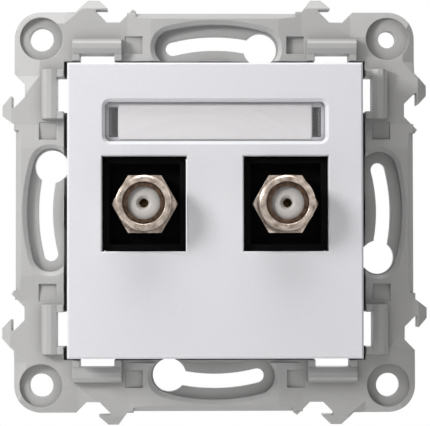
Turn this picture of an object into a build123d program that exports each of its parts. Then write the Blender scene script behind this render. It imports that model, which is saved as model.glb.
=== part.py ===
from build123d import *
import os
from math import cos, radians, sin

os.makedirs("parts", exist_ok=True)

# A twin antenna wall socket for a 60 mm wall box: a moulded support frame, a white centre plate with
# a label window, and two threaded F-type connectors in black snap-in housings.
# X is to the right and Z is up as the socket hangs, and -Y points out of the wall into the room.
# The origin is the centre of the fixing-screw circle, in the wall plane.
# A height below is a distance out of the wall, and a negative one lies inside the wall box.
WALL = Plane.XZ
QUARTERS = (0, 90, 180, 270)

# Support frame in plan: its edges and its opening lie out and in from the fixing-screw circle
# The opening's bottom edge lies nearer the centre than the other three
fixing_circle_d = 60.0
frame_rim = 5.5
corner_inset = 4.8
opening_inset = 3.35
lower_inset = 0.5
ledge_overhang = 0.45
corner_hole_d = 4.2
small_hole_d = 3.05
counterbore_d = 7.6
counterbore_depth = 1.4

# Support frame in height
frame_depth = 3.4
ledge_depth = 1.2
pillow_rise = 0.6

# Hooked lugs on the rim: each side has one near either end, both pointing clockwise
hook_insets = (14.5, 17.05)
hook_runs = (2.15, 1.55)
hook_reach = 2.15
hook_gap = 0.35
hook_undercut = 2.0
hook_plateau = 1.8
hook_nose = 1.6
hook_tip = 0.25
hook_flat = 0.6
hook_bevel_depth = 1.3

# Notches beside the hooks, with a nub after the first, and the recessed long edge between them
notch_depth = 1.9
notch_floor = 2.3
nub_run = 1.0
nub_rise = 0.4
long_edge_gap = 4.05
long_edge_recess = 0.27
long_bevel_width = 1.0
long_bevel_depth = 1.4

# Keyhole slots on the fixing circle, each in a channel for the head of its screw
slot_width = 2.6
slot_head_d = 5.9
slot_head_angle = 15.6
slot_tail_angle = 14.3
channel_width = 6.4
channel_depth = 1.9
channel_bevel_depth = 0.6
channel_bevel_angle = 52

# Raised pillow round each slot, with long ramps at its ends
pillow_gap = 0.9
pillow_ramp = 4.2

# Belt-loop clips for the cover frame
clip_corner_gap = 1.55
clip_length = 8.7
clip_leg = 1.3
clip_bar_width = 2.6
clip_window_depth = 1.25
clip_rise = 2.0
clip_leg_drop = 0.5
clip_bevel = 0.8
clip_inner_bevel = 0.9
clip_inner_drop = 0.45

# Insert marks beside the clips
mark_size = 3.1
mark_gap = 0.55
mark_inset = 1.3
mark_depth = 0.12
deep_mark_depth = 0.5

# Sloping reliefs at the corners: a wide one at the end of each side and a narrow one at its start
relief_depth = 1.1
wide_relief = 4.5
wide_relief_run = 11.4
wide_relief_slant = 3.5
narrow_relief = 2.1
narrow_relief_run = 8.9
narrow_relief_slant = 3.2

# Centre plate
plate_inset = 1.15
plate_front = 12.8
plate_face = 2.0
plate_wall = 1.5
plate_edge_bevel = 0.3
module_pitch = 24.4
module_height = 1.15
housing_gap = 0.2
hole_edge_bevel = 0.2
leg_width = 5.0
leg_thickness = 1.2
leg_offset = 12.0
leg_inset = 4.3
leg_barb = 0.8
leg_barb_length = 1.5

# Label window
label_gap = 2.05
window_width = 39.1
window_height = 7.9
window_round = 0.9
window_bevel = 0.55
window_depth = 1.8
window_wall = 1.2
clip_slot_width = 1.6
clip_slot_inset = 1.25
clip_slot_side_gap = 0.75
card_end_gap = 0.2
card_side_gap = 0.4
card_thickness = 0.25
cover_gap = 0.15
cover_thickness = 1.0
cover_leg_thickness = 0.9
cover_leg_gap = 0.3
cover_barb = 0.45
cover_barb_length = 0.9

# Jack carrier
carrier_gap = 0.2
flange_thickness = 1.6
flange_notch = 1.05
notch_gap = 0.3
bay_gap = 0.25
latch_slot_gap = 0.3
latch_room = 0.5
bay_wall = 1.2
bay_wall_rise = 6.6
rim_wall = 1.0
rim_gap = 0.4
rim_rise = 3.6
tongue_width = 7.0
tongue_centre = -2.5
tongue_thickness = 1.2
tongue_barb = 0.8
tongue_barb_length = 1.6
pocket_depth = 0.5
pocket_gap = 0.4
barb_tip = 0.5
fit_gap = 0.1

# Jack housings
housing_step = 0.1
housing_wall = 1.0
housing_floor = 2.0
rear_cavity_depth = 9.7
nut_side_gap = 0.6
nut_corner_gap = 0.65
lug_width = 9.0
lug_reach = 1.1
front_rib_length = 1.0
rear_lug_length = 2.0
latch_width = 8.0
latch_thickness = 1.0
latch_spacing = 1.7
latch_root_width = 11.0
latch_reach = 0.9
latch_nose_length = 2.3
latch_step_length = 1.5

# Connectors
thread_d = 9.45
thread_chamfer = 0.35
thread_relief_width = 0.5
thread_relief_depth = 0.4
hex_step = 0.275
hex_thickness = 3.0
hex_recess = 0.2
hex_chamfer_drop = 0.25
hex_chamfer_run = 0.5
front_barrel_length = 7.8
rear_barrel_length = 17.7
barrel_wall = 1.125
mouth_depth = 8.0
web_bore_d = 5.0
insulator_recess = 0.5
shell_gap = 0.1
ring_width = 0.8
ring_thickness = 0.6
ring_recess = 0.5
seat_gap = 0.05
insulator_face = 0.9
pin_hole_d = 1.6
pin_lead_in = 0.5
contact_d = 2.4
contact_bore_d = 1.3
contact_bore_depth = 9.0
contact_slot = 0.35
contact_slot_length = 4.0
washer_rim = 0.4
washer_thickness = 0.7
nut_wall = 0.775
nut_thickness = 2.4
nut_turn = 30

# Sizes that follow from the ones above
fixing_radius = fixing_circle_d / 2
edge = fixing_radius + frame_rim
hole_place = edge - corner_inset
opening_edge = fixing_radius - opening_inset
ledge_edge = opening_edge - ledge_overhang
hook_roots = (hook_insets[0] - edge, edge - hook_insets[1])
long_edge_end = hook_roots[1] - long_edge_gap
wide_relief_start = edge - wide_relief_run
narrow_relief_start = edge - narrow_relief_run
clip_start = opening_edge - clip_corner_gap - clip_length
pillow_end = clip_start - pillow_gap
mark_centre = clip_start - mark_gap - mark_size / 2
mark_radius = opening_edge + mark_inset + mark_size / 2
notch_end = hook_roots[0] + 2 * notch_depth + notch_floor
long_edge_start = notch_end + nub_run
pillow_top = frame_depth + pillow_rise
clip_top = frame_depth + clip_rise
clip_outer = opening_edge + clip_window_depth + clip_bar_width
tongue_outer = ledge_edge - carrier_gap
pocket_edge = tongue_outer + tongue_barb + pocket_gap
catch_height = pocket_depth - fit_gap
flange_top = ledge_depth + flange_thickness
plate_size = 2 * (opening_edge - plate_inset)
leg_centre = plate_size / 2 - leg_inset
face_back = plate_front - plate_face
hex_across_flats = thread_d + 2 * hex_step
nut_across_flats = thread_d + 2 * nut_wall
washer_d = nut_across_flats + 2 * washer_rim
mouth_d = thread_d - 2 * barrel_wall
housing_width = nut_across_flats + 2 * (nut_side_gap + housing_wall)
housing_height = nut_across_flats / cos(radians(30)) + 2 * (nut_corner_gap + housing_wall)
plate_hole_width = housing_width + 2 * housing_gap
plate_hole_height = housing_height + 2 * housing_gap
label_height = module_height + plate_hole_height / 2 + label_gap + window_height / 2
floor_width = window_width - 2 * window_bevel
floor_height = window_height - 2 * window_bevel
clip_slot_centre = floor_width / 2 - cover_gap - clip_slot_inset
clip_slot_height = floor_height - 2 * clip_slot_side_gap
card_width = 2 * (clip_slot_centre - clip_slot_width / 2 - card_end_gap)
card_height = floor_height - 2 * card_side_gap
label_floor = plate_front - window_depth
well_back = label_floor - window_wall
housing_bottom = module_height - housing_height / 2
housing_top = module_height + housing_height / 2
bay_width = housing_width + 2 * bay_gap
bay_height = housing_height + 2 * bay_gap
bay_top = housing_top + latch_spacing + latch_thickness + latch_room
housing_front = face_back + housing_step
hex_front = housing_front - hex_recess
hex_back = hex_front - hex_thickness
floor_back = hex_back - housing_floor
housing_back = floor_back - rear_cavity_depth
barrel_front = hex_front + front_barrel_length
barrel_back = hex_back - rear_barrel_length
ring_front = barrel_front - ring_recess
insulator_front = ring_front - ring_thickness
insulator_back = barrel_back + insulator_recess
module_places = (-module_pitch / 2, module_pitch / 2)
opening_height = 2 * opening_edge - lower_inset
inward_shift = {0: 0, 90: 0, 180: lower_inset, 270: 0}


def along(height):
    """Plane parallel to the wall at a height: local x to the right, local y up."""
    return WALL.offset(height)


def side(turn, height, shift=0):
    """Plane parallel to the wall for one side: local x clockwise, local y away from the centre.

    The side at turn 0 is the top one, and the others follow anticlockwise. A shift moves it inwards.
    """
    flat = Plane(
        origin=(0, -height, 0),
        x_dir=(cos(radians(turn)), 0, sin(radians(turn))),
        z_dir=(0, -1, 0),
    )
    flat.origin -= flat.y_dir * shift
    return flat


def across(turn, distance, shift=0):
    """Section across one side, a distance clockwise of its middle.

    Local x points away from the centre and local y out of the wall. A shift moves it inwards.
    """
    flat = side(turn, 0, shift)
    return Plane(origin=flat.origin + flat.x_dir * distance, x_dir=flat.y_dir, z_dir=flat.x_dir)


def inward(turn, radius):
    """Section along one side, looking to the centre: local x clockwise, local y out of the wall."""
    flat = side(turn, 0)
    return Plane(origin=flat.y_dir * radius, x_dir=flat.x_dir, z_dir=flat.y_dir * -1)


def turned(place):
    """Half section of a connector: local x away from its axis, local y out of the wall."""
    return Plane(origin=(place, 0, module_height), x_dir=(1, 0, 0), z_dir=(0, 0, -1))


def connector_axis(place):
    """Axis of a connector, pointing out of the wall."""
    return Axis((place, 0, module_height), (0, -1, 0))


# Outline of one side's rim: the hooked lugs and the nub stand out, the notches and the long edge are cut in
with BuildSketch() as rim_lugs:
    for root, run in zip(hook_roots, hook_runs):
        tip = root + hook_undercut
        with BuildLine():
            Polyline(
                (tip - hook_nose - hook_plateau - run, edge - notch_depth),
                (tip - hook_nose - hook_plateau - run, edge),
                (tip - hook_nose - hook_plateau, edge + hook_reach),
                (tip - hook_nose, edge + hook_reach),
                (tip, edge + hook_gap + hook_tip),
                (tip, edge + hook_gap),
                (root, edge + hook_gap),
                (root, edge - notch_depth),
                close=True,
            )
        make_face()
    with BuildLine():
        Polyline(
            (notch_end - nub_run, edge - nub_run),
            (notch_end + nub_rise, edge + nub_rise),
            (notch_end + nub_run, edge),
            (notch_end + nub_run, edge - nub_run),
            close=True,
        )
    make_face()

with BuildSketch() as rim_notches:
    for root in hook_roots:
        with BuildLine():
            Polyline(
                (root, edge),
                (root + notch_depth, edge - notch_depth),
                (root + notch_depth + notch_floor, edge - notch_depth),
                (root + 2 * notch_depth + notch_floor, edge),
                close=True,
            )
        make_face()
    with Locations(((long_edge_start + long_edge_end) / 2, edge)):
        Rectangle(long_edge_end - long_edge_start, 2 * long_edge_recess)

# Keyhole slot of one side, and the channel round it
slot_line = CenterArc((0, 0), fixing_radius, 90 - slot_head_angle, slot_head_angle + slot_tail_angle)
head_place = Vector(0, fixing_radius).rotate(Axis.Z, -slot_head_angle)

with BuildSketch() as keyhole:
    SlotArc(arc=slot_line, height=slot_width)
    with Locations(head_place):
        Circle(slot_head_d / 2)

with BuildSketch() as channel:
    SlotArc(arc=slot_line, height=channel_width)

# Belt-loop clips of one side: their whole footprint, and the windows through them
clip_middle = clip_start + clip_length / 2
clip_reach = clip_outer - opening_edge
with BuildSketch() as clip_feet:
    for middle in (-clip_middle, clip_middle):
        with Locations((middle, opening_edge + clip_reach / 2)):
            Rectangle(clip_length, clip_reach)

with BuildSketch() as clip_windows:
    with Locations((-clip_middle, opening_edge), (clip_middle, opening_edge)):
        Rectangle(clip_length - 2 * clip_leg, 2 * clip_window_depth)

with BuildSketch() as insert_marks:
    with Locations((-mark_centre, mark_radius), (mark_centre, mark_radius)):
        Rectangle(mark_size, mark_size)

with BuildPart(WALL) as support_frame:
    with BuildSketch(along(0)):
        RectangleRounded(2 * edge, 2 * edge, corner_inset)
        with PolarLocations(0, 4):
            add(rim_notches.sketch, mode=Mode.SUBTRACT)
        with PolarLocations(0, 4):
            add(rim_lugs.sketch)
    extrude(amount=frame_depth)

    # Hooks slope away outside their flat tops
    for turn in QUARTERS:
        with BuildSketch(across(turn, -edge)):
            with BuildLine():
                Polyline(
                    (edge + hook_flat, frame_depth),
                    (edge + hook_reach, frame_depth - hook_bevel_depth),
                    (edge + 2 * hook_reach, frame_depth - hook_bevel_depth),
                    (edge + 2 * hook_reach, frame_depth),
                    close=True,
                )
            make_face()
    extrude(amount=2 * edge, mode=Mode.SUBTRACT)

    # Corner reliefs: their slopes end in a slanted step beside the notch and the hook
    for turn in QUARTERS:
        far = edge + hook_reach
        step = wide_relief_slant * relief_depth / wide_relief
        with BuildSketch(side(turn, frame_depth)):
            with BuildLine():
                Polyline(
                    (wide_relief_start, edge - wide_relief),
                    (far, edge - wide_relief),
                    (far, far),
                    (wide_relief_start - wide_relief_slant, far),
                    (wide_relief_start - wide_relief_slant, edge - notch_depth),
                    close=True,
                )
            make_face()
        with BuildSketch(side(turn, frame_depth - relief_depth)):
            with BuildLine():
                Polyline(
                    (wide_relief_start, edge),
                    (far, edge),
                    (far, far),
                    (wide_relief_start - step, far),
                    (wide_relief_start - step, edge + step),
                    close=True,
                )
            make_face()
        loft(ruled=True, mode=Mode.SUBTRACT)
        step = narrow_relief_slant * relief_depth / narrow_relief / 2
        with BuildSketch(side(turn, frame_depth)):
            with BuildLine():
                Polyline(
                    (-narrow_relief_start, edge - narrow_relief),
                    (-far, edge - narrow_relief),
                    (-far, far),
                    (narrow_relief_slant - narrow_relief_start, far),
                    (narrow_relief_slant - narrow_relief_start, edge + hook_flat),
                    close=True,
                )
            make_face()
        with BuildSketch(side(turn, frame_depth - relief_depth)):
            with BuildLine():
                Polyline(
                    (-narrow_relief_start, edge),
                    (-far, edge),
                    (-far, far),
                    (step - narrow_relief_start, far),
                    (step - narrow_relief_start, edge + step / 2),
                    close=True,
                )
            make_face()
        loft(ruled=True, mode=Mode.SUBTRACT)

    # Pillows: their ends ramp down to the clips, and their long edge is bevelled
    for turn in QUARTERS:
        with BuildSketch(inward(turn, edge - long_edge_recess)):
            with BuildLine():
                Polyline(
                    (-pillow_end, frame_depth),
                    (pillow_ramp - pillow_end, pillow_top),
                    (pillow_end - pillow_ramp, pillow_top),
                    (pillow_end, frame_depth),
                    close=True,
                )
            make_face()
    extrude(amount=edge - long_edge_recess - opening_edge)
    for turn in QUARTERS:
        with BuildSketch(across(turn, long_edge_start)):
            with BuildLine():
                Polyline(
                    (edge - long_edge_recess - long_bevel_width, pillow_top),
                    (edge - long_edge_recess, pillow_top - long_bevel_depth),
                    (edge, pillow_top - long_bevel_depth),
                    (edge, pillow_top),
                    close=True,
                )
            make_face()
    extrude(amount=long_edge_end - long_edge_start, mode=Mode.SUBTRACT)

    # Belt-loop clips: low legs and a taller bar, bevelled on both sides
    for turn in QUARTERS:
        with BuildSketch(side(turn, frame_depth, inward_shift[turn])):
            add(clip_feet.sketch)
    extrude(amount=clip_rise - clip_leg_drop)
    for turn in QUARTERS:
        for start in (-clip_start - clip_length, clip_start):
            with BuildSketch(across(turn, start, inward_shift[turn])):
                with BuildLine():
                    Polyline(
                        (clip_outer - clip_bar_width, frame_depth),
                        (clip_outer - clip_bar_width, clip_top - clip_inner_drop),
                        (clip_outer - clip_bar_width + clip_inner_bevel, clip_top),
                        (clip_outer - clip_bevel, clip_top),
                        (clip_outer, clip_top - clip_bevel),
                        (clip_outer, frame_depth),
                        close=True,
                    )
                make_face()
    extrude(amount=clip_length)

    # Opening for the insert, with a ledge at the back, and the windows through the clips
    with BuildSketch(along(ledge_depth)):
        with Locations((0, lower_inset / 2)):
            Rectangle(2 * opening_edge, opening_height)
    extrude(amount=clip_top, mode=Mode.SUBTRACT)
    with BuildSketch(along(0)):
        with Locations((0, lower_inset / 2)):
            Rectangle(2 * ledge_edge, opening_height - 2 * ledge_overhang)
    for turn in QUARTERS:
        with BuildSketch(side(turn, 0, inward_shift[turn])):
            add(clip_windows.sketch)
    extrude(amount=clip_top, mode=Mode.SUBTRACT)

    # Pockets in the back of the ledge, where the carrier's tongues catch
    for turn in QUARTERS:
        with BuildSketch(side(turn, 0, inward_shift[turn])):
            with Locations((tongue_centre, pocket_edge / 2)):
                Rectangle(tongue_width + 2 * pocket_gap, pocket_edge)
    extrude(amount=pocket_depth, mode=Mode.SUBTRACT)

    # Keyhole slots in their channels, whose rims are bevelled
    with BuildSketch(along(pillow_top - channel_depth)):
        with PolarLocations(0, 4):
            add(channel.sketch)
    extrude(amount=channel_depth, mode=Mode.SUBTRACT)
    with BuildSketch(along(pillow_top - channel_bevel_depth)):
        with PolarLocations(0, 4):
            add(channel.sketch)
    extrude(amount=channel_bevel_depth, taper=-channel_bevel_angle, mode=Mode.SUBTRACT)
    with BuildSketch(along(0)):
        with PolarLocations(0, 4):
            add(keyhole.sketch)
    extrude(amount=pillow_top, mode=Mode.SUBTRACT)

    # Insert marks, of which the one at the right of the top side is deeper
    with BuildSketch(along(frame_depth - mark_depth)):
        with PolarLocations(0, 4):
            add(insert_marks.sketch)
    extrude(amount=pillow_rise + mark_depth, mode=Mode.SUBTRACT)
    with BuildSketch(along(frame_depth - deep_mark_depth)):
        with Locations((mark_centre, mark_radius)):
            Rectangle(mark_size, mark_size)
    extrude(amount=deep_mark_depth, mode=Mode.SUBTRACT)

    # Counterbored corner holes, of which the top right one is smaller
    with Locations((-hole_place, hole_place, frame_depth), (-hole_place, -hole_place, frame_depth)):
        CounterBoreHole(corner_hole_d / 2, counterbore_d / 2, counterbore_depth)
    with Locations((hole_place, -hole_place, frame_depth)):
        CounterBoreHole(corner_hole_d / 2, counterbore_d / 2, counterbore_depth)
    with Locations((hole_place, hole_place, frame_depth)):
        CounterBoreHole(small_hole_d / 2, counterbore_d / 2, counterbore_depth)

# Centre plate: a shallow box with two jack openings and a well for the label
with BuildPart(WALL) as centre_plate:
    with BuildSketch(along(flange_top)):
        Rectangle(plate_size, plate_size)
    extrude(amount=plate_front - flange_top)
    chamfer(centre_plate.faces().sort_by(Axis.Y)[0].edges(), plate_edge_bevel)
    with BuildSketch(along(flange_top)):
        Rectangle(plate_size - 2 * plate_wall, plate_size - 2 * plate_wall)
    extrude(amount=face_back - flange_top, mode=Mode.SUBTRACT)
    with BuildSketch(along(well_back)):
        with Locations((0, label_height)):
            Rectangle(window_width + 2 * window_wall, window_height + 2 * window_wall)
    extrude(amount=face_back - well_back)

    # Label window with a bevelled rim, and the slots for the cover's clips
    with BuildSketch(along(label_floor)):
        with Locations((0, label_height)):
            RectangleRounded(floor_width, floor_height, window_round)
    extrude(amount=window_depth, mode=Mode.SUBTRACT)
    with BuildSketch(along(plate_front - window_bevel)):
        with Locations((0, label_height)):
            RectangleRounded(floor_width, floor_height, window_round)
    extrude(amount=window_bevel, taper=-45, mode=Mode.SUBTRACT)
    with BuildSketch(along(well_back)):
        with Locations((-clip_slot_centre, label_height), (clip_slot_centre, label_height)):
            Rectangle(clip_slot_width, clip_slot_height)
    extrude(amount=window_wall, mode=Mode.SUBTRACT)

    # Jack openings
    with BuildSketch(along(face_back)):
        with Locations(*[(place, module_height) for place in module_places]):
            Rectangle(plate_hole_width, plate_hole_height)
    extrude(amount=plate_face, mode=Mode.SUBTRACT)
    hole_edges = [
        rim
        for rim in centre_plate.faces().sort_by(Axis.Y)[0].inner_wires()
        if rim.bounding_box().center().Z < label_height - window_height / 2
    ]
    chamfer([rim_edge for rim in hole_edges for rim_edge in rim.edges()], hole_edge_bevel)

    # Snap legs at the top and bottom, whose barbs catch behind the carrier's flange
    leg_inner = leg_centre - leg_thickness / 2
    leg_outer = leg_centre + leg_thickness / 2
    barb_front = ledge_depth - fit_gap
    for turn in (0, 180):
        for middle in (-leg_offset, leg_offset):
            with BuildSketch(across(turn, middle - leg_width / 2)):
                with BuildLine():
                    Polyline(
                        (leg_outer, face_back),
                        (leg_inner, face_back),
                        (leg_inner, barb_front),
                        (leg_inner - leg_barb, barb_front),
                        (leg_inner - leg_barb, barb_front - barb_tip),
                        (leg_inner, barb_front - leg_barb_length),
                        (leg_outer, barb_front - leg_barb_length),
                        close=True,
                    )
                make_face()
    extrude(amount=leg_width)

# Blank label card on the floor of the window
with BuildPart(WALL) as label_card:
    with BuildSketch(along(label_floor)):
        with Locations((0, label_height)):
            Rectangle(card_width, card_height)
    extrude(amount=card_thickness)

# Clear cover over the card, with a barbed clip at each end
cover_back = label_floor + card_thickness
cover_width = floor_width - 2 * cover_gap
cover_height = floor_height - 2 * cover_gap
with BuildPart(WALL) as label_cover:
    with BuildSketch(along(cover_back)):
        with Locations((0, label_height)):
            RectangleRounded(cover_width, cover_height, window_round - cover_gap)
    extrude(amount=cover_thickness)
    for hand in (-1, 1):
        leg_out = hand * (clip_slot_centre + cover_leg_thickness / 2 - cover_barb / 2)
        leg_in = leg_out - hand * cover_leg_thickness
        barb_height = well_back - fit_gap
        cover_leg_height = clip_slot_height - 2 * cover_leg_gap
        with BuildSketch(across(90, label_height - cover_leg_height / 2)):
            with BuildLine():
                Polyline(
                    (-leg_in, cover_back),
                    (-leg_out, cover_back),
                    (-leg_out, barb_height),
                    (-leg_out - hand * cover_barb, barb_height),
                    (-leg_out, barb_height - cover_barb_length),
                    (-leg_in, barb_height - cover_barb_length),
                    close=True,
                )
            make_face()
        extrude(amount=cover_leg_height)

# Jack carrier: a flange in the frame's opening, with a bay for each jack housing
with BuildPart(WALL) as jack_carrier:
    flange_edge = opening_edge - carrier_gap
    with BuildSketch(along(ledge_depth)):
        with Locations((0, lower_inset / 2)):
            Rectangle(2 * flange_edge, opening_height - 2 * carrier_gap)
        with PolarLocations(0, 4):
            with Locations((-clip_middle, opening_edge), (clip_middle, opening_edge)):
                Rectangle(clip_length - 2 * clip_leg + 2 * notch_gap, 2 * flange_notch, mode=Mode.SUBTRACT)
            with Locations((head_place.X, opening_edge)):
                Rectangle(slot_head_d + 2 * notch_gap, 2 * flange_notch, mode=Mode.SUBTRACT)
        for place in module_places:
            with Locations((place, module_height)):
                Rectangle(bay_width, bay_height, mode=Mode.SUBTRACT)
            with Locations((place, (module_height + bay_top) / 2)):
                Rectangle(latch_width + 2 * latch_slot_gap, bay_top - module_height, mode=Mode.SUBTRACT)
        slot_inner = leg_inner - fit_gap
        slot_outer = leg_outer + leg_barb
        with GridLocations(2 * leg_offset, slot_inner + slot_outer, 2, 2):
            Rectangle(leg_width + 2 * notch_gap, slot_outer - slot_inner, mode=Mode.SUBTRACT)
    extrude(amount=flange_thickness)

    # Rim inside the plate's skirt, and the side walls of the bays
    rim_outer = plate_size - 2 * plate_wall - 2 * rim_gap
    with BuildSketch(along(flange_top)):
        Rectangle(rim_outer, rim_outer)
        Rectangle(rim_outer - 2 * rim_wall, rim_outer - 2 * rim_wall, mode=Mode.SUBTRACT)
    extrude(amount=rim_rise)
    with BuildSketch(along(flange_top)):
        for place in module_places:
            wall_shift = (bay_width + bay_wall) / 2
            with Locations((place - wall_shift, module_height), (place + wall_shift, module_height)):
                Rectangle(bay_wall, bay_height)
    extrude(amount=bay_wall_rise)

    # Snap tongues that catch behind the frame's ledge
    for turn in QUARTERS:
        with BuildSketch(across(turn, tongue_centre - tongue_width / 2, inward_shift[turn])):
            with BuildLine():
                Polyline(
                    (tongue_outer - tongue_thickness, ledge_depth),
                    (tongue_outer - tongue_thickness, catch_height - tongue_barb_length),
                    (tongue_outer, catch_height - tongue_barb_length),
                    (tongue_outer + tongue_barb, catch_height - barb_tip),
                    (tongue_outer + tongue_barb, catch_height),
                    (tongue_outer, catch_height),
                    (tongue_outer, ledge_depth),
                    close=True,
                )
            make_face()
    extrude(amount=tongue_width)


def hexagon_flange(place):
    """Hexagonal flange of a connector, its corners chamfered at the front and its flats up and down."""
    corner_radius = hex_across_flats / 2 / cos(radians(30))
    with BuildPart(WALL) as flange:
        with BuildSketch(along(hex_back)):
            with Locations((place, module_height)):
                RegularPolygon(hex_across_flats / 2, 6, major_radius=False)
        extrude(amount=hex_thickness)
        with BuildSketch(turned(place)):
            with BuildLine():
                Polyline(
                    (0, hex_back),
                    (corner_radius + hex_chamfer_run, hex_back),
                    (corner_radius + hex_chamfer_run, hex_front - 2 * hex_chamfer_drop),
                    (corner_radius - hex_chamfer_run, hex_front),
                    (0, hex_front),
                    close=True,
                )
            make_face()
        revolve(axis=connector_axis(place), mode=Mode.INTERSECT)
    return flange.part


def ring(place, low, high, outer_d, inner_d):
    """Plain ring round a connector's axis."""
    with BuildPart(WALL) as washer:
        with BuildSketch(along(low)):
            with Locations((place, module_height)):
                Circle(outer_d / 2)
                Circle(inner_d / 2, mode=Mode.SUBTRACT)
        extrude(amount=high - low)
    return washer.part


def jack_housing(place):
    """Black moulding that fills a plate opening, with its bottom lugs and bent latch moulded on."""
    with BuildPart(WALL) as housing:
        cavity = (housing_width - 2 * housing_wall, housing_height - 2 * housing_wall)
        with BuildSketch(along(housing_back)):
            with Locations((place, module_height)):
                Rectangle(housing_width, housing_height)
        extrude(amount=housing_front - housing_back)
        with BuildSketch(along(hex_back)):
            with Locations((place, module_height)):
                Rectangle(*cavity)
        extrude(amount=housing_front - hex_back, mode=Mode.SUBTRACT)
        with BuildSketch(along(housing_back)):
            with Locations((place, module_height)):
                Rectangle(*cavity)
        extrude(amount=floor_back - housing_back, mode=Mode.SUBTRACT)
        with BuildSketch(along(floor_back)):
            with Locations((place, module_height)):
                Circle(thread_d / 2 + shell_gap)
        extrude(amount=housing_floor, mode=Mode.SUBTRACT)

        # Lugs that hold the bay's lower lip between them: the front one is as wide as the housing
        lug_middle = housing_bottom - lug_reach / 2
        with BuildSketch(along(flange_top + fit_gap)):
            with Locations((place, lug_middle)):
                Rectangle(housing_width, lug_reach)
        extrude(amount=front_rib_length)
        with BuildSketch(along(ledge_depth - fit_gap - rear_lug_length)):
            with Locations((place, lug_middle)):
                Rectangle(lug_width, lug_reach)
        extrude(amount=rear_lug_length)

        # Latch: an arm bent forward from a wide root at the back, with a nose before the upper lip and
        # a step behind it
        arm_inner = housing_top + latch_spacing
        arm_outer = arm_inner + latch_thickness
        with BuildSketch(along(housing_back)):
            with Locations((place, (housing_top + arm_outer) / 2)):
                Rectangle(latch_root_width, arm_outer - housing_top)
        extrude(amount=latch_thickness)
        nose_back = flange_top + fit_gap
        step_front = ledge_depth - fit_gap
        with BuildSketch(across(0, place - latch_width / 2)):
            with BuildLine():
                Polyline(
                    (housing_top, housing_back),
                    (arm_outer, housing_back),
                    (arm_outer, step_front - latch_step_length - latch_reach),
                    (bay_top + latch_reach, step_front - latch_step_length),
                    (bay_top + latch_reach, step_front),
                    (arm_outer, step_front),
                    (arm_outer, nose_back),
                    (bay_top + latch_reach, nose_back),
                    (arm_inner, nose_back + latch_nose_length),
                    (arm_inner, housing_back + latch_thickness),
                    (housing_top, housing_back + latch_thickness),
                    close=True,
                )
            make_face()
        extrude(amount=latch_width)
    return housing.part


def connector_shell(place):
    """Turned and plated barrel with its hexagonal flange, bored from both ends."""
    neck = thread_d / 2 - thread_relief_depth
    flange = hexagon_flange(place)
    with BuildPart() as shell:
        add(flange)
        with BuildSketch(turned(place)):
            with BuildLine():
                Polyline(
                    (0, barrel_back),
                    (thread_d / 2, barrel_back),
                    (thread_d / 2, hex_back),
                    (neck, hex_back),
                    (neck, hex_front + thread_relief_width),
                    (thread_d / 2, hex_front + thread_relief_width),
                    (thread_d / 2, barrel_front - thread_chamfer),
                    (thread_d / 2 - thread_chamfer, barrel_front),
                    (0, barrel_front),
                    close=True,
                )
            make_face()
        revolve(axis=connector_axis(place))
        with BuildSketch(turned(place)):
            with BuildLine():
                Polyline(
                    (0, barrel_back),
                    (mouth_d / 2, barrel_back),
                    (mouth_d / 2, insulator_back + mouth_depth),
                    (web_bore_d / 2, insulator_back + mouth_depth),
                    (web_bore_d / 2, barrel_front - mouth_depth),
                    (mouth_d / 2, barrel_front - mouth_depth),
                    (mouth_d / 2, barrel_front),
                    (0, barrel_front),
                    close=True,
                )
            make_face()
        revolve(axis=connector_axis(place), mode=Mode.SUBTRACT)
    return shell.part


def rear_nut(place, high):
    """Hexagonal nut on the back thread, up against the lock washer, its flats to the left and right."""
    with BuildPart(WALL) as nut:
        with BuildSketch(along(high - nut_thickness)):
            with Locations((place, module_height)):
                RegularPolygon(nut_across_flats / 2, 6, major_radius=False, rotation=nut_turn)
                Circle(thread_d / 2 + seat_gap, mode=Mode.SUBTRACT)
        extrude(amount=nut_thickness)
    return nut.part


def insulator(place, face, inner, outer_d, lead_in):
    """White insulator from its outer face inwards, with a pin hole that opens into the contact's bore.

    A lead_in above nothing gives the hole a funnel that much wider than itself all round.
    """
    inwards = 1 if inner > face else -1
    seat = face + inwards * insulator_face
    bore = contact_d / 2 + seat_gap
    with BuildPart(WALL) as plug:
        with BuildSketch(turned(place)):
            with BuildLine():
                Polyline(
                    (pin_hole_d / 2, face),
                    (outer_d / 2, face),
                    (outer_d / 2, inner),
                    (bore, inner),
                    (bore, seat),
                    (pin_hole_d / 2, seat),
                    close=True,
                )
            make_face()
        revolve(axis=connector_axis(place))
        if lead_in:
            funnel = pin_hole_d / 2 + lead_in
            with BuildSketch(turned(place)):
                with BuildLine():
                    Polyline((0, face), (funnel, face), (0, face + inwards * funnel), close=True)
                make_face()
            revolve(axis=connector_axis(place), mode=Mode.SUBTRACT)
    return plug.part


def centre_contact(place):
    """Tube contact, bored and cross-slotted at both ends so that its fingers spring."""
    low = insulator_back + insulator_face
    high = insulator_front - insulator_face
    with BuildPart(WALL) as contact:
        with BuildSketch(along(low)):
            with Locations((place, module_height)):
                Circle(contact_d / 2)
        extrude(amount=high - low)
        for start, depth in ((low, contact_bore_depth), (high, -contact_bore_depth)):
            with BuildSketch(along(start)):
                with Locations((place, module_height)):
                    Circle(contact_bore_d / 2)
            extrude(amount=depth, mode=Mode.SUBTRACT)
        for start, depth in ((low, contact_slot_length), (high, -contact_slot_length)):
            with BuildSketch(along(start)):
                with Locations((place, module_height)):
                    Rectangle(contact_d, contact_slot)
                    Rectangle(contact_slot, contact_d)
            extrude(amount=depth, mode=Mode.SUBTRACT)
    return contact.part


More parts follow.
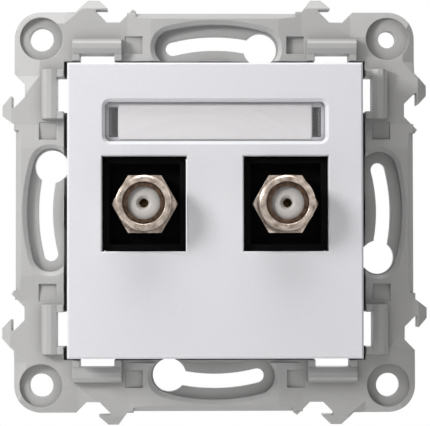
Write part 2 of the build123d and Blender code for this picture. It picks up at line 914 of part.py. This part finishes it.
pieces = {
    "support_frame": support_frame.part,
    "centre_plate": centre_plate.part,
    "label_card": label_card.part,
    "label_cover": label_cover.part,
    "jack_carrier": jack_carrier.part,
}
for hand, place in zip(("left", "right"), module_places):
    insulator_d = mouth_d - 2 * seat_gap
    nut_front = floor_back - washer_thickness
    pieces[hand + "_jack_housing"] = jack_housing(place)
    pieces[hand + "_connector_shell"] = connector_shell(place)
    pieces[hand + "_front_insulator"] = insulator(
        place, insulator_front, barrel_front - mouth_depth, insulator_d, pin_lead_in
    )
    pieces[hand + "_rear_insulator"] = insulator(
        place, insulator_back, insulator_back + mouth_depth, insulator_d, 0
    )
    pieces[hand + "_centre_contact"] = centre_contact(place)
    ring_inner_d = mouth_d - 2 * ring_width
    pieces[hand + "_retaining_ring"] = ring(place, insulator_front, ring_front, insulator_d, ring_inner_d)
    pieces[hand + "_lock_washer"] = ring(place, nut_front, floor_back, washer_d, thread_d + 2 * shell_gap)
    pieces[hand + "_rear_nut"] = rear_nut(place, nut_front)

for name, piece in pieces.items():
    piece.label = name
    export_step(piece, "parts/" + name + ".step")
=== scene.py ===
from math import cos, pi, radians, tan

import bpy
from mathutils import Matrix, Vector


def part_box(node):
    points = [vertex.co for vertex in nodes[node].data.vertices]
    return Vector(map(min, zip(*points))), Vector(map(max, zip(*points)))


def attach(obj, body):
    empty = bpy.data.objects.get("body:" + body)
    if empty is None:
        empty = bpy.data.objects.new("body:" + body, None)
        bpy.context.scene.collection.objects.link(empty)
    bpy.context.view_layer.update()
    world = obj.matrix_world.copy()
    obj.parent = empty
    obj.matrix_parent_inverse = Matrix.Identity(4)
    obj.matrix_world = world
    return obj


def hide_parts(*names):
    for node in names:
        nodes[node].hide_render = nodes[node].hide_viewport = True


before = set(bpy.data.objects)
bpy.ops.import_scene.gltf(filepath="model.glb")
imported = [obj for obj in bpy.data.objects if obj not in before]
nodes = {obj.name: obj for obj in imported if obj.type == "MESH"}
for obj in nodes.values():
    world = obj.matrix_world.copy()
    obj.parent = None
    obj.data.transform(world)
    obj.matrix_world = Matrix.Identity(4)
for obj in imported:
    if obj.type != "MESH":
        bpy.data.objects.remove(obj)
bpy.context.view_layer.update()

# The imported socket, in metres. The wall lies in the XZ plane, and -Y points out into the room.
MM = 0.001
bpy.ops.object.select_all(action="DESELECT")


# Support frame: one injection moulding in light grey plastic, screwed over the wall box.
# Its skin is fine spark-eroded texture, a little paler and rougher in broad clouds, and every edge
# has the small round that such a tool leaves. Painted shade darkens it in its hollows.
class Signal:
    """One output of a shader node, which adds, multiplies and takes powers as a number does."""

    def __init__(self, wiring, socket):
        self.wiring = wiring
        self.socket = socket

    def _maths(self, operation, first, second):
        return self.wiring.node("ShaderNodeMath", {"operation": operation}, {0: first, 1: second})

    def __add__(self, other):
        return self._maths("ADD", self, other)

    __radd__ = __add__

    def __mul__(self, other):
        return self._maths("MULTIPLY", self, other)

    __rmul__ = __mul__

    def __pow__(self, other):
        return self._maths("POWER", self, other)

    def spread(self, low, high):
        """A number that runs from low, where the signal is 0, to high, where it is 1."""
        return self * (high - low) + low


class Wiring:
    """A tree of shader nodes, to which nodes are added one by one."""

    def __init__(self, tree):
        self.tree = tree

    def node(self, kind, settings, inputs, output=0):
        """Adds a node: its settings first, then a value or a link for each input named."""
        made = self.tree.nodes.new(kind)
        for key, value in settings.items():
            setattr(made, key, value)
        for key, value in inputs.items():
            if isinstance(value, Signal):
                self.tree.links.new(value.socket, made.inputs[key])
            else:
                made.inputs[key].default_value = value
        return Signal(self, made.outputs[output])


class Finish(Wiring):
    """A material built up node by node round its Principled shader."""

    HOLLOW_SAMPLES = 8
    EDGE_SAMPLES = 6
    MIX_COLOUR_OUTPUT = 2

    def __init__(self, name, **constants):
        self.material = bpy.data.materials.new(name)
        self.material.use_nodes = True
        super().__init__(self.material.node_tree)
        self.shader = self.tree.nodes["Principled BSDF"]
        for socket, value in constants.items():
            self.shader.inputs[socket.replace("_", " ")].default_value = value
        self.place = self.node("ShaderNodeTexCoord", {}, {}, "Object")

    def noise(self, size, detail, stretch=(1, 1, 1)):
        """Cloudy noise from 0 to 1 whose blots are about size metres across."""
        place = self.node("ShaderNodeMapping", {}, {"Vector": self.place, "Scale": stretch})
        inputs = {"Vector": place, "Scale": 1 / size, "Detail": detail}
        return self.node("ShaderNodeTexNoise", {}, inputs, "Fac")

    def mix(self, factor, first, second):
        """Blend of two colours, the first where the factor is 0 and the second where it is 1."""
        inputs = {"Factor": factor, "A": first, "B": second}
        return self.node("ShaderNodeMix", {"data_type": "RGBA"}, inputs, self.MIX_COLOUR_OUTPUT)

    def painted_hollow_shade(self, colour, dark, width, fall, alone=False):
        """The colour, with painted shade that darkens it in hollows less than width metres wide.

        The larger fall is, the sooner the painted shade darkens it. A piece taken alone gets no
        painted shade from others.
        """
        settings = {"samples": self.HOLLOW_SAMPLES, "only_local": alone}
        openness = self.node("ShaderNodeAmbientOcclusion", settings, {"Distance": width}, "AO")
        return self.mix(openness ** fall, dark, colour)

    def rounded(self, radius):
        """Surface normal with every edge rounded off by radius metres."""
        settings = {"samples": self.EDGE_SAMPLES}
        return self.node("ShaderNodeBevel", settings, {"Radius": radius}, "Normal")

    def bump(self, height, depth, normal=None):
        """Surface normal of a relief whose height runs from 0 to depth metres."""
        inputs = {"Height": height, "Distance": depth, "Strength": 1.0}
        if normal is not None:
            inputs["Normal"] = normal
        return self.node("ShaderNodeBump", {}, inputs, "Normal")

    def drive(self, **signals):
        """Links signals to the shader's own sockets."""
        for socket, signal in signals.items():
            self.tree.links.new(signal.socket, self.shader.inputs[socket.replace("_", " ")])

    def paint(self, *pieces):
        """Gives the pieces this finish alone."""
        for piece in pieces:
            piece.data.materials.clear()
            piece.data.materials.append(self.material)


FRAME_GREY = (0.40, 0.396, 0.39, 1)
FRAME_GREY_WORN = (0.47, 0.465, 0.455, 1)
# Painted shade: the grey turns this dark in hollows, where shade falls.
FRAME_PAINTED_HOLLOW_SHADE = (0.14, 0.138, 0.135, 1)
FRAME_HOLLOW_SHADE_WIDTH = 2.5 * MM
FRAME_HOLLOW_SHADE_FALL = 0.7
FRAME_CLOUD_SIZE = 9 * MM
FRAME_CLOUD_WEAR = 0.5
FRAME_GRAIN_SIZE = 0.12 * MM
FRAME_GRAIN_WEAR = 0.25
FRAME_GRAIN_RELIEF = 0.004 * MM
FRAME_ROUGHNESS = (0.36, 0.50)
FRAME_ROUND = 0.25 * MM
frame_grey = Finish("light_grey_moulding", IOR=1.5, Specular_IOR_Level=0.5)
frame_clouds = frame_grey.noise(FRAME_CLOUD_SIZE, detail=3.0)
frame_grain = frame_grey.noise(FRAME_GRAIN_SIZE, detail=2.0)
frame_wear = frame_clouds * FRAME_CLOUD_WEAR + frame_grain * FRAME_GRAIN_WEAR
frame_grey.drive(
    Base_Color=frame_grey.painted_hollow_shade(
        frame_grey.mix(frame_wear, FRAME_GREY, FRAME_GREY_WORN),
        FRAME_PAINTED_HOLLOW_SHADE,
        FRAME_HOLLOW_SHADE_WIDTH,
        FRAME_HOLLOW_SHADE_FALL,
    ),
    Roughness=frame_clouds.spread(*FRAME_ROUGHNESS),
    Normal=frame_grey.bump(frame_grain, FRAME_GRAIN_RELIEF, frame_grey.rounded(FRAME_ROUND)),
)
frame_grey.paint(nodes["support_frame"])


# Centre plate: a glossy white moulding, its face polished and its edges crisp.
# It snaps into the carrier behind it with four legs. Its hollows are darkened with painted shade,
# which is found on the plate alone, so the clear cover over its window doesn't add to it.
PLATE_WHITE = (0.725, 0.725, 0.755, 1)
PLATE_WHITE_SHADE = (0.70, 0.70, 0.73, 1)
# Painted shade: the white turns this dark in the plate's own hollows.
PLATE_PAINTED_HOLLOW_SHADE = (0.05, 0.047, 0.05, 1)
PLATE_HOLLOW_SHADE_WIDTH = 1.6 * MM
PLATE_HOLLOW_SHADE_FALL = 1.0
PLATE_GRAIN_SIZE = 0.2 * MM
PLATE_GRAIN_RELIEF = 0.001 * MM
PLATE_ROUGHNESS = (0.24, 0.32)
PLATE_ROUND = 0.15 * MM
plate_white = Finish("polished_white_moulding", IOR=1.53, Specular_IOR_Level=0.5)
plate_grain = plate_white.noise(PLATE_GRAIN_SIZE, detail=3.0)
plate_white.drive(
    Base_Color=plate_white.painted_hollow_shade(
        plate_white.mix(plate_grain, PLATE_WHITE, PLATE_WHITE_SHADE),
        PLATE_PAINTED_HOLLOW_SHADE,
        PLATE_HOLLOW_SHADE_WIDTH,
        PLATE_HOLLOW_SHADE_FALL,
        alone=True,
    ),
    Roughness=plate_grain.spread(*PLATE_ROUGHNESS),
    Normal=plate_white.bump(plate_grain, PLATE_GRAIN_RELIEF, plate_white.rounded(PLATE_ROUND)),
)
plate_white.paint(nodes["centre_plate"])


# Label card: a blank slip of uncoated white card that lies on the floor of the window.
# Its fibres run across the window, and it is held down by the cover alone.
CARD_WHITE = (0.80, 0.78, 0.79, 1)
CARD_WHITE_FIBRE = (0.75, 0.73, 0.74, 1)
CARD_FIBRE_SIZE = 0.25 * MM
CARD_FIBRE_STRETCH = (0.3, 1, 1)
CARD_FIBRE_RELIEF = 0.01 * MM
card_paper = Finish("white_card", Roughness=0.85, Specular_IOR_Level=0.2)
card_fibres = card_paper.noise(CARD_FIBRE_SIZE, detail=4.0, stretch=CARD_FIBRE_STRETCH)
card_paper.drive(
    Base_Color=card_paper.mix(card_fibres, CARD_WHITE, CARD_WHITE_FIBRE),
    Normal=card_paper.bump(card_fibres, CARD_FIBRE_RELIEF),
)
card_paper.paint(nodes["label_card"])


# Label cover: a clear moulding that clips over the card with a leg at each end.
# It is polished on its face, which is very slightly wavy, as such thin mouldings are.
COVER_CLEAR = (0.93, 0.93, 0.95, 1)
COVER_ALPHA = 0.08
COVER_WAVE_SIZE = 3 * MM
COVER_WAVE_RELIEF = 0.002 * MM
COVER_ROUGHNESS = (0.05, 0.11)
COVER_ROUND = 0.2 * MM
cover_clear = Finish("clear_moulding", Base_Color=COVER_CLEAR, IOR=1.49, Alpha=COVER_ALPHA)
cover_waves = cover_clear.noise(COVER_WAVE_SIZE, detail=1.0)
cover_clear.drive(
    Roughness=cover_waves.spread(*COVER_ROUGHNESS),
    Normal=cover_clear.bump(cover_waves, COVER_WAVE_RELIEF, cover_clear.rounded(COVER_ROUND)),
)
cover_clear.paint(nodes["label_cover"])


# Jack housings: black mouldings, each with a bent latch, that snap into the carrier's bays and hold
# the connectors. They fill the plate's openings, and their skin gives back hardly any light.
JACK_BLACK = (0.0018, 0.0016, 0.0022, 1)
JACK_BLACK_WORN = (0.0034, 0.0031, 0.0038, 1)
JACK_CLOUD_SIZE = 5 * MM
JACK_GRAIN_SIZE = 0.1 * MM
JACK_GRAIN_RELIEF = 0.006 * MM
JACK_ROUGHNESS = (0.6, 0.8)
JACK_ROUND = 0.2 * MM
jack_black = Finish("black_moulding", Specular_IOR_Level=0.06)
jack_clouds = jack_black.noise(JACK_CLOUD_SIZE, detail=3.0)
jack_grain = jack_black.noise(JACK_GRAIN_SIZE, detail=2.0)
jack_black.drive(
    Base_Color=jack_black.mix(jack_clouds, JACK_BLACK, JACK_BLACK_WORN),
    Roughness=jack_clouds.spread(*JACK_ROUGHNESS),
    Normal=jack_black.bump(jack_grain, JACK_GRAIN_RELIEF, jack_black.rounded(JACK_ROUND)),
)
jack_black.paint(nodes["left_jack_housing"], nodes["right_jack_housing"])


# Jack carrier: the black moulding behind the plate, which snaps into the support frame's opening
# with four tongues and takes the plate's legs. Its skin is smoother than the housings'.
CARRIER_BLACK = (0.016, 0.0155, 0.017, 1)
CARRIER_BLACK_WORN = (0.026, 0.025, 0.027, 1)
CARRIER_CLOUD_SIZE = 7 * MM
CARRIER_GRAIN_SIZE = 0.12 * MM
CARRIER_GRAIN_RELIEF = 0.004 * MM
CARRIER_ROUGHNESS = (0.42, 0.57)
CARRIER_ROUND = 0.2 * MM
carrier_black = Finish("black_carrier_moulding", Specular_IOR_Level=0.35)
carrier_clouds = carrier_black.noise(CARRIER_CLOUD_SIZE, detail=3.0)
carrier_grain = carrier_black.noise(CARRIER_GRAIN_SIZE, detail=2.0)
carrier_edges = carrier_black.rounded(CARRIER_ROUND)
carrier_black.drive(
    Base_Color=carrier_black.mix(carrier_clouds, CARRIER_BLACK, CARRIER_BLACK_WORN),
    Roughness=carrier_clouds.spread(*CARRIER_ROUGHNESS),
    Normal=carrier_black.bump(carrier_grain, CARRIER_GRAIN_RELIEF, carrier_edges),
)
carrier_black.paint(nodes["jack_carrier"])


# Connector shells: double-ended barrels turned from brass bar with a hexagonal flange, then nickel
# plated. A 3/8 inch thread of 32 turns to the inch is cut from either end, up to a relief neck at
# the flange. They are turned here in millimetres, as the Boolean modifier likes large shapes best.
SHELL_STEPS = 96
END_MARGIN = 0.001
WELD_GAP = 0.001
SMOOTH_ANGLE = radians(30)
THREAD_RADIUS = 4.725
THREAD_LEAD = 0.35
THREAD_PITCH = 25.4 / 32
REAR_THREAD_START = -5.3
GROOVE_DEPTH = 0.38
GROOVE_ROOT = 0.14
GROOVE_FLANK = radians(30)
GROOVE_CLEARANCE = 0.12
GROOVE_STEPS = 48
NECK_RADIUS = 4.325
NECK_LENGTH = 0.5
BORE_RADIUS = 3.6
BORE_BREAK = 0.12
BORE_DEPTH = 8.0
REAR_SEAT = 0.5
WEB_RADIUS = 2.5
HEXAGON_RADIUS = 10.0 / 2 / cos(pi / 6)
HEXAGON_LENGTH = 3.0
HEXAGON_RECESS = 7.8
HEXAGON_TURN = (pi / 2, pi / 6, 0)
CHAMFER_DROP = 0.25
CHAMFER_RUN = 0.5


def round_bar(name, centre, section):
    """Round piece on an axis along Y through centre: each (radius, y) of its section is a ring."""
    radius, depth = section[0]
    bpy.ops.mesh.primitive_circle_add(
        vertices=SHELL_STEPS,
        radius=radius,
        rotation=(pi / 2, 0, 0),
        location=(centre.x, depth, centre.z),
    )
    piece = bpy.context.object
    piece.name = name
    bpy.ops.object.transform_apply()
    bpy.ops.object.mode_set(mode="EDIT")
    for next_radius, next_depth in section[1:] + section[:1]:
        wider = next_radius / radius
        middle = (centre.x, next_depth, centre.z)
        step = (0, next_depth - depth, 0)
        bpy.ops.mesh.extrude_region_move(TRANSFORM_OT_translate={"value": step})
        bpy.ops.transform.resize(value=(wider, 1, wider), center_override=middle)
        radius, depth = next_radius, next_depth
    bpy.ops.mesh.select_all(action="SELECT")
    bpy.ops.mesh.remove_doubles(threshold=WELD_GAP)
    bpy.ops.mesh.normals_make_consistent(inside=False)
    bpy.ops.object.mode_set(mode="OBJECT")
    return piece


def combine(piece, tool, operation):
    """Cuts, joins or intersects the piece with a tool, which is used up."""
    boolean = piece.modifiers.new("combine", "BOOLEAN")
    boolean.operation = operation
    boolean.solver = "MANIFOLD"
    boolean.object = tool
    bpy.context.view_layer.objects.active = piece
    bpy.ops.object.modifier_apply(modifier="combine")
    bpy.data.objects.remove(tool)


def thread_cutter(centre, start, length):
    """Helical cutter for a right-hand thread round centre, from the depth start along Y."""
    height = GROOVE_DEPTH + GROOVE_CLEARANCE
    mouth = GROOVE_ROOT + 2 * height * tan(GROOVE_FLANK)
    reach = THREAD_RADIUS + GROOVE_CLEARANCE - height / 2
    pivot = (centre.x, start, centre.z)
    bpy.ops.mesh.primitive_plane_add(size=height, location=pivot)
    cutter = bpy.context.object
    bpy.ops.object.mode_set(mode="EDIT")
    bpy.ops.transform.translate(value=(reach, 0, 0))
    bpy.ops.transform.resize(value=(1, mouth / height, 1), center_override=pivot)
    bpy.ops.mesh.delete(type="ONLY_FACE")
    bpy.ops.object.mode_set(mode="OBJECT")
    for corner in cutter.data.vertices:
        corner.select = corner.co.x < reach
    bpy.ops.object.mode_set(mode="EDIT")
    bpy.ops.transform.resize(value=(1, GROOVE_ROOT / mouth, 1), center_override=pivot)
    bpy.ops.object.mode_set(mode="OBJECT")
    helix = cutter.modifiers.new("helix", "SCREW")
    helix.axis = "Y"
    helix.angle = 2 * pi * length / THREAD_PITCH
    helix.screw_offset = length
    helix.steps = helix.render_steps = round(GROOVE_STEPS * length / THREAD_PITCH)
    bpy.ops.object.modifier_apply(modifier="helix")
    bpy.ops.object.mode_set(mode="EDIT")
    bpy.ops.mesh.select_all(action="SELECT")
    bpy.ops.mesh.fill_holes(sides=4)
    bpy.ops.mesh.select_all(action="SELECT")
    bpy.ops.mesh.normals_make_consistent(inside=False)
    bpy.ops.object.mode_set(mode="OBJECT")
    return cutter


def to_metres(piece):
    """Brings a piece modelled in millimetres down to its real size, in its mesh."""
    bpy.ops.object.select_all(action="DESELECT")
    piece.select_set(True)
    bpy.context.view_layer.objects.active = piece
    bpy.ops.object.mode_set(mode="EDIT")
    bpy.ops.mesh.select_all(action="SELECT")
    bpy.ops.transform.resize(value=(MM, MM, MM), center_override=(0, 0, 0))
    bpy.ops.object.mode_set(mode="OBJECT")
    bpy.ops.object.shade_smooth_by_angle(angle=SMOOTH_ANGLE)


# Nickel plating, dull in random clouds, with painted shade darkening it in bores, thread roots and
# other hollows.
NICKEL = (0.68, 0.58, 0.505, 1)
NICKEL_DULL = (0.20, 0.155, 0.12, 1)
NICKEL_PAINTED_HOLLOW_SHADE = (0.05, 0.038, 0.028, 1)
NICKEL_HOLLOW_SHADE_WIDTH = 1.6 * MM
NICKEL_HOLLOW_SHADE_FALL = 1.5
NICKEL_CLOUD_SIZE = 1.1 * MM
NICKEL_CLOUD_DULLING = (-0.8, 1.6)
NICKEL_ROUGHNESS = (0.18, 0.30)
NICKEL_ROUND = 0.08 * MM
TURNING_SIZE = 0.35 * MM
TURNING_STRETCH = (0.15, 1, 0.15)
TURNING_RELIEF = 0.002 * MM
TURNING_ROUGHNESS = 0.08
nickel = Finish("warm_nickel_plating", Metallic=1.0)
nickel_clouds = nickel.noise(NICKEL_CLOUD_SIZE, detail=4.0)
turning_marks = nickel.noise(TURNING_SIZE, detail=2.0, stretch=TURNING_STRETCH)
nickel.drive(
    Base_Color=nickel.painted_hollow_shade(
        nickel.mix(nickel_clouds.spread(*NICKEL_CLOUD_DULLING), NICKEL, NICKEL_DULL),
        NICKEL_PAINTED_HOLLOW_SHADE,
        NICKEL_HOLLOW_SHADE_WIDTH,
        NICKEL_HOLLOW_SHADE_FALL,
    ),
    Roughness=nickel_clouds.spread(*NICKEL_ROUGHNESS) + turning_marks * TURNING_ROUGHNESS,
    Normal=nickel.bump(turning_marks, TURNING_RELIEF, nickel.rounded(NICKEL_ROUND)),
)

for side in ("left", "right"):
    low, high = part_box(side + "_connector_shell")
    centre = (Vector(low) + Vector(high)) / 2 / MM
    mouth_end = low[1] / MM + END_MARGIN
    cable_end = high[1] / MM - END_MARGIN
    front_bore_end = mouth_end + BORE_DEPTH
    rear_bore_end = cable_end - REAR_SEAT - BORE_DEPTH
    hexagon_front = mouth_end + HEXAGON_RECESS
    hexagon_back = hexagon_front + HEXAGON_LENGTH
    shell = round_bar(side + "_threaded_shell", centre, [
        (BORE_RADIUS + BORE_BREAK, mouth_end),
        (THREAD_RADIUS - THREAD_LEAD, mouth_end),
        (THREAD_RADIUS, mouth_end + THREAD_LEAD),
        (THREAD_RADIUS, hexagon_front - NECK_LENGTH),
        (NECK_RADIUS, hexagon_front - NECK_LENGTH),
        (NECK_RADIUS, hexagon_back),
        (THREAD_RADIUS, hexagon_back),
        (THREAD_RADIUS, cable_end - THREAD_LEAD),
        (THREAD_RADIUS - THREAD_LEAD, cable_end),
        (BORE_RADIUS, cable_end),
        (BORE_RADIUS, rear_bore_end),
        (WEB_RADIUS, rear_bore_end),
        (WEB_RADIUS, front_bore_end),
        (BORE_RADIUS, front_bore_end),
        (BORE_RADIUS, mouth_end + BORE_BREAK),
    ])

    # The flange: a hexagonal block with its flats up and down, whose front corners a lathe has cut
    bpy.ops.mesh.primitive_cylinder_add(
        vertices=6,
        radius=HEXAGON_RADIUS,
        depth=HEXAGON_LENGTH,
        rotation=HEXAGON_TURN,
        location=(centre.x, (hexagon_front + hexagon_back) / 2, centre.z),
    )
    hexagon = bpy.context.object
    combine(hexagon, round_bar("chamfered_blank", centre, [
        (NECK_RADIUS - BORE_BREAK, hexagon_front),
        (HEXAGON_RADIUS - CHAMFER_RUN, hexagon_front),
        (HEXAGON_RADIUS + CHAMFER_RUN, hexagon_front + 2 * CHAMFER_DROP),
        (HEXAGON_RADIUS + CHAMFER_RUN, hexagon_back),
        (NECK_RADIUS - BORE_BREAK, hexagon_back),
    ]), "INTERSECT")
    combine(shell, hexagon, "UNION")

    # The threads: the front one runs out in the neck, the rear one begins behind the flange
    front_run = hexagon_front - NECK_LENGTH / 2 - mouth_end + THREAD_PITCH
    combine(shell, thread_cutter(centre, mouth_end - THREAD_PITCH, front_run), "DIFFERENCE")
    rear_run = cable_end + THREAD_PITCH - REAR_THREAD_START
    combine(shell, thread_cutter(centre, REAR_THREAD_START, rear_run), "DIFFERENCE")

    to_metres(shell)
    nickel.paint(shell)
    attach(shell, "root")
    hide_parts(side + "_connector_shell")


# Insulators: white discs turned from fluoropolymer rod, slightly waxy, with painted shade in their
# hollows.
# One is pressed into each end of a barrel and holds the contact in the middle of it.
INSULATOR_WHITE = (0.645, 0.61, 0.58, 1)
INSULATOR_WHITE_SHADE = (0.50, 0.472, 0.45, 1)
INSULATOR_PAINTED_HOLLOW_SHADE = (0.09, 0.085, 0.08, 1)
INSULATOR_HOLLOW_SHADE_WIDTH = 1.8 * MM
INSULATOR_HOLLOW_SHADE_FALL = 1.3
INSULATOR_WAX_SIZE = 1.2 * MM
INSULATOR_WAX_RELIEF = 0.004 * MM
INSULATOR_ROUGHNESS = (0.4, 0.55)
INSULATOR_ROUND = 0.1 * MM
insulator_white = Finish("waxy_white_insulator", IOR=1.38)
wax = insulator_white.noise(INSULATOR_WAX_SIZE, detail=2.0)
insulator_edges = insulator_white.rounded(INSULATOR_ROUND)
insulator_white.drive(
    Base_Color=insulator_white.painted_hollow_shade(
        insulator_white.mix(wax, INSULATOR_WHITE, INSULATOR_WHITE_SHADE),
        INSULATOR_PAINTED_HOLLOW_SHADE,
        INSULATOR_HOLLOW_SHADE_WIDTH,
        INSULATOR_HOLLOW_SHADE_FALL,
    ),
    Roughness=wax.spread(*INSULATOR_ROUGHNESS),
    Normal=insulator_white.bump(wax, INSULATOR_WAX_RELIEF, insulator_edges),
)
for side in ("left", "right"):
    insulator_white.paint(nodes[side + "_front_insulator"], nodes[side + "_rear_insulator"])


# Centre contacts: springy bronze tubes, slotted at both ends and thinly gilt.
# Each runs through a barrel from one insulator to the other, and its fingers grip the wire or pin.
CONTACT_GOLD = (0.20, 0.135, 0.06, 1)
CONTACT_GOLD_DULL = (0.06, 0.042, 0.022, 1)
CONTACT_TARNISH_SIZE = 0.8 * MM
CONTACT_ROUGHNESS = (0.25, 0.45)
contact_gold = Finish("gilt_contact", Metallic=1.0)
tarnish = contact_gold.noise(CONTACT_TARNISH_SIZE, detail=3.0)
contact_gold.drive(
    Base_Color=contact_gold.mix(tarnish, CONTACT_GOLD, CONTACT_GOLD_DULL),
    Roughness=tarnish.spread(*CONTACT_ROUGHNESS),
)
contact_gold.paint(nodes["left_centre_contact"], nodes["right_centre_contact"])


# Retaining rings: spring bronze pressings, browned, pushed into each barrel's mouth in front of the
# insulator. They lie in the shade of the rim, and painted shade darkens them further in their
# hollows.
RING_BROWN = (0.18, 0.115, 0.08, 1)
RING_BROWN_DARK = (0.038, 0.023, 0.016, 1)
RING_PAINTED_HOLLOW_SHADE = (0.015, 0.011, 0.008, 1)
RING_HOLLOW_SHADE_WIDTH = 0.8 * MM
RING_HOLLOW_SHADE_FALL = 1.4
RING_SCUFF_SIZE = 0.7 * MM
RING_SCUFF_DARKENING = (-0.5, 1.5)
RING_ROUGHNESS = (0.25, 0.45)
ring_brown = Finish("browned_bronze", Metallic=1.0)
ring_scuffs = ring_brown.noise(RING_SCUFF_SIZE, detail=4.0)
ring_brown.drive(
    Base_Color=ring_brown.painted_hollow_shade(
        ring_brown.mix(ring_scuffs.spread(*RING_SCUFF_DARKENING), RING_BROWN, RING_BROWN_DARK),
        RING_PAINTED_HOLLOW_SHADE,
        RING_HOLLOW_SHADE_WIDTH,
        RING_HOLLOW_SHADE_FALL,
    ),
    Roughness=ring_scuffs.spread(*RING_ROUGHNESS),
)
ring_brown.paint(nodes["left_retaining_ring"], nodes["right_retaining_ring"])


# Lock washers and rear nuts: small stampings and turnings in plated steel, duller than the barrels.
# A nut on each rear thread clamps the barrel in its housing, with the washer under it.
STEEL = (0.36, 0.30, 0.25, 1)
STEEL_DULL = (0.10, 0.078, 0.06, 1)
STEEL_SCUFF_SIZE = 1.5 * MM
STEEL_SCUFF_RELIEF = 0.003 * MM
STEEL_ROUGHNESS = (0.3, 0.5)
STEEL_ROUND = 0.08 * MM
plated_steel = Finish("plated_steel", Metallic=1.0)
steel_scuffs = plated_steel.noise(STEEL_SCUFF_SIZE, detail=4.0)
steel_edges = plated_steel.rounded(STEEL_ROUND)
plated_steel.drive(
    Base_Color=plated_steel.mix(steel_scuffs, STEEL, STEEL_DULL),
    Roughness=steel_scuffs.spread(*STEEL_ROUGHNESS),
    Normal=plated_steel.bump(steel_scuffs, STEEL_SCUFF_RELIEF, steel_edges),
)
for side in ("left", "right"):
    plated_steel.paint(nodes[side + "_lock_washer"], nodes[side + "_rear_nut"])


# Floor: a pale sheet some way below the socket. The camera sees it with a glow of its own, so that
# it fades into the white surround and still keeps the socket's shadow.
FLOOR_SIZE = 1.6
FLOOR_MIDDLE = (0, -0.4, -75 * MM)
FLOOR_PALE = (0.9, 0.9, 0.9, 1)
FLOOR_PALE_SEEN = (0.55, 0.55, 0.55, 1)
FLOOR_GLOW = (0, 0, 0, 1)
FLOOR_GLOW_SEEN = (0.42, 0.42, 0.42, 1)
bpy.ops.mesh.primitive_plane_add(size=FLOOR_SIZE, location=FLOOR_MIDDLE)
floor = bpy.context.object
floor.name = "floor"
floor_pale = Finish("pale_floor", Roughness=0.9, Emission_Strength=1.0)
seen_by_camera = floor_pale.node("ShaderNodeLightPath", {}, {}, "Is Camera Ray")
floor_pale.drive(
    Base_Color=floor_pale.mix(seen_by_camera, FLOOR_PALE, FLOOR_PALE_SEEN),
    Emission_Color=floor_pale.mix(seen_by_camera, FLOOR_GLOW, FLOOR_GLOW_SEEN),
)
floor_pale.material.cycles.emission_sampling = "NONE"
floor_pale.paint(floor)


# Lamps: a key at the left, a softbox above, and a fill behind for the views from the back.
# All of them face the socket. Each has its name, its place, its size in metres and its watts.
LAMPS = (
    ("left_key", Vector((-0.31, -0.26, 0.16)), 0.12, 1.36),
    ("overhead_softbox", Vector((-0.02, -0.10, 0.33)), 0.22, 0.86),
    ("rear_fill", Vector((0.16, 0.36, 0.22)), 0.30, 1.0),
)
for name, place, size, power in LAMPS:
    bpy.ops.object.light_add(type="AREA", location=place)
    lamp = bpy.context.object
    lamp.name = name
    lamp.data.size = size
    lamp.data.energy = power
    lamp.rotation_euler = (-place).to_track_quat("-Z", "Y").to_euler()


# Surround: white to the camera and in everything that mirrors or lets light through, and a dim
# grey wherever it lights the socket.
SURROUND_WHITE = (1, 1, 1, 1)
SURROUND_LIGHT = 0.06
world = bpy.data.worlds.new("white_surround")
bpy.context.scene.world = world
world.use_nodes = True
surround = Wiring(world.node_tree)
shown = 0.0
for ray_kind in ("Is Camera Ray", "Is Glossy Ray", "Is Transmission Ray"):
    ray = surround.node("ShaderNodeLightPath", {}, {}, ray_kind)
    shown = surround.node("ShaderNodeMath", {"operation": "MAXIMUM"}, {0: shown, 1: ray})
background = surround.tree.nodes["Background"]
background.inputs["Color"].default_value = SURROUND_WHITE
surround_strength = shown.spread(SURROUND_LIGHT, 1.0)
surround.tree.links.new(surround_strength.socket, background.inputs["Strength"])


# Camera: almost straight on, a little below and left of the middle, as the photograph was taken.
# Its place, turn and lens were fitted to points of the socket in the picture.
CAMERA_PLACE = (-3.90 * MM, -338.1 * MM, -8.70 * MM)
CAMERA_TURN = (radians(91.4505), radians(0.0693), radians(-0.6743))
CAMERA_LENS = 158.41
CAMERA_SENSOR = 36
CAMERA_NEAR = 0.01
CAMERA_FAR = 20
bpy.ops.object.camera_add(location=CAMERA_PLACE, rotation=CAMERA_TURN)
camera = bpy.context.object
camera.data.lens = CAMERA_LENS
camera.data.sensor_width = CAMERA_SENSOR
camera.data.clip_start = CAMERA_NEAR
camera.data.clip_end = CAMERA_FAR
bpy.context.scene.camera = camera
bpy.context.scene.view_settings.view_transform = "Standard"
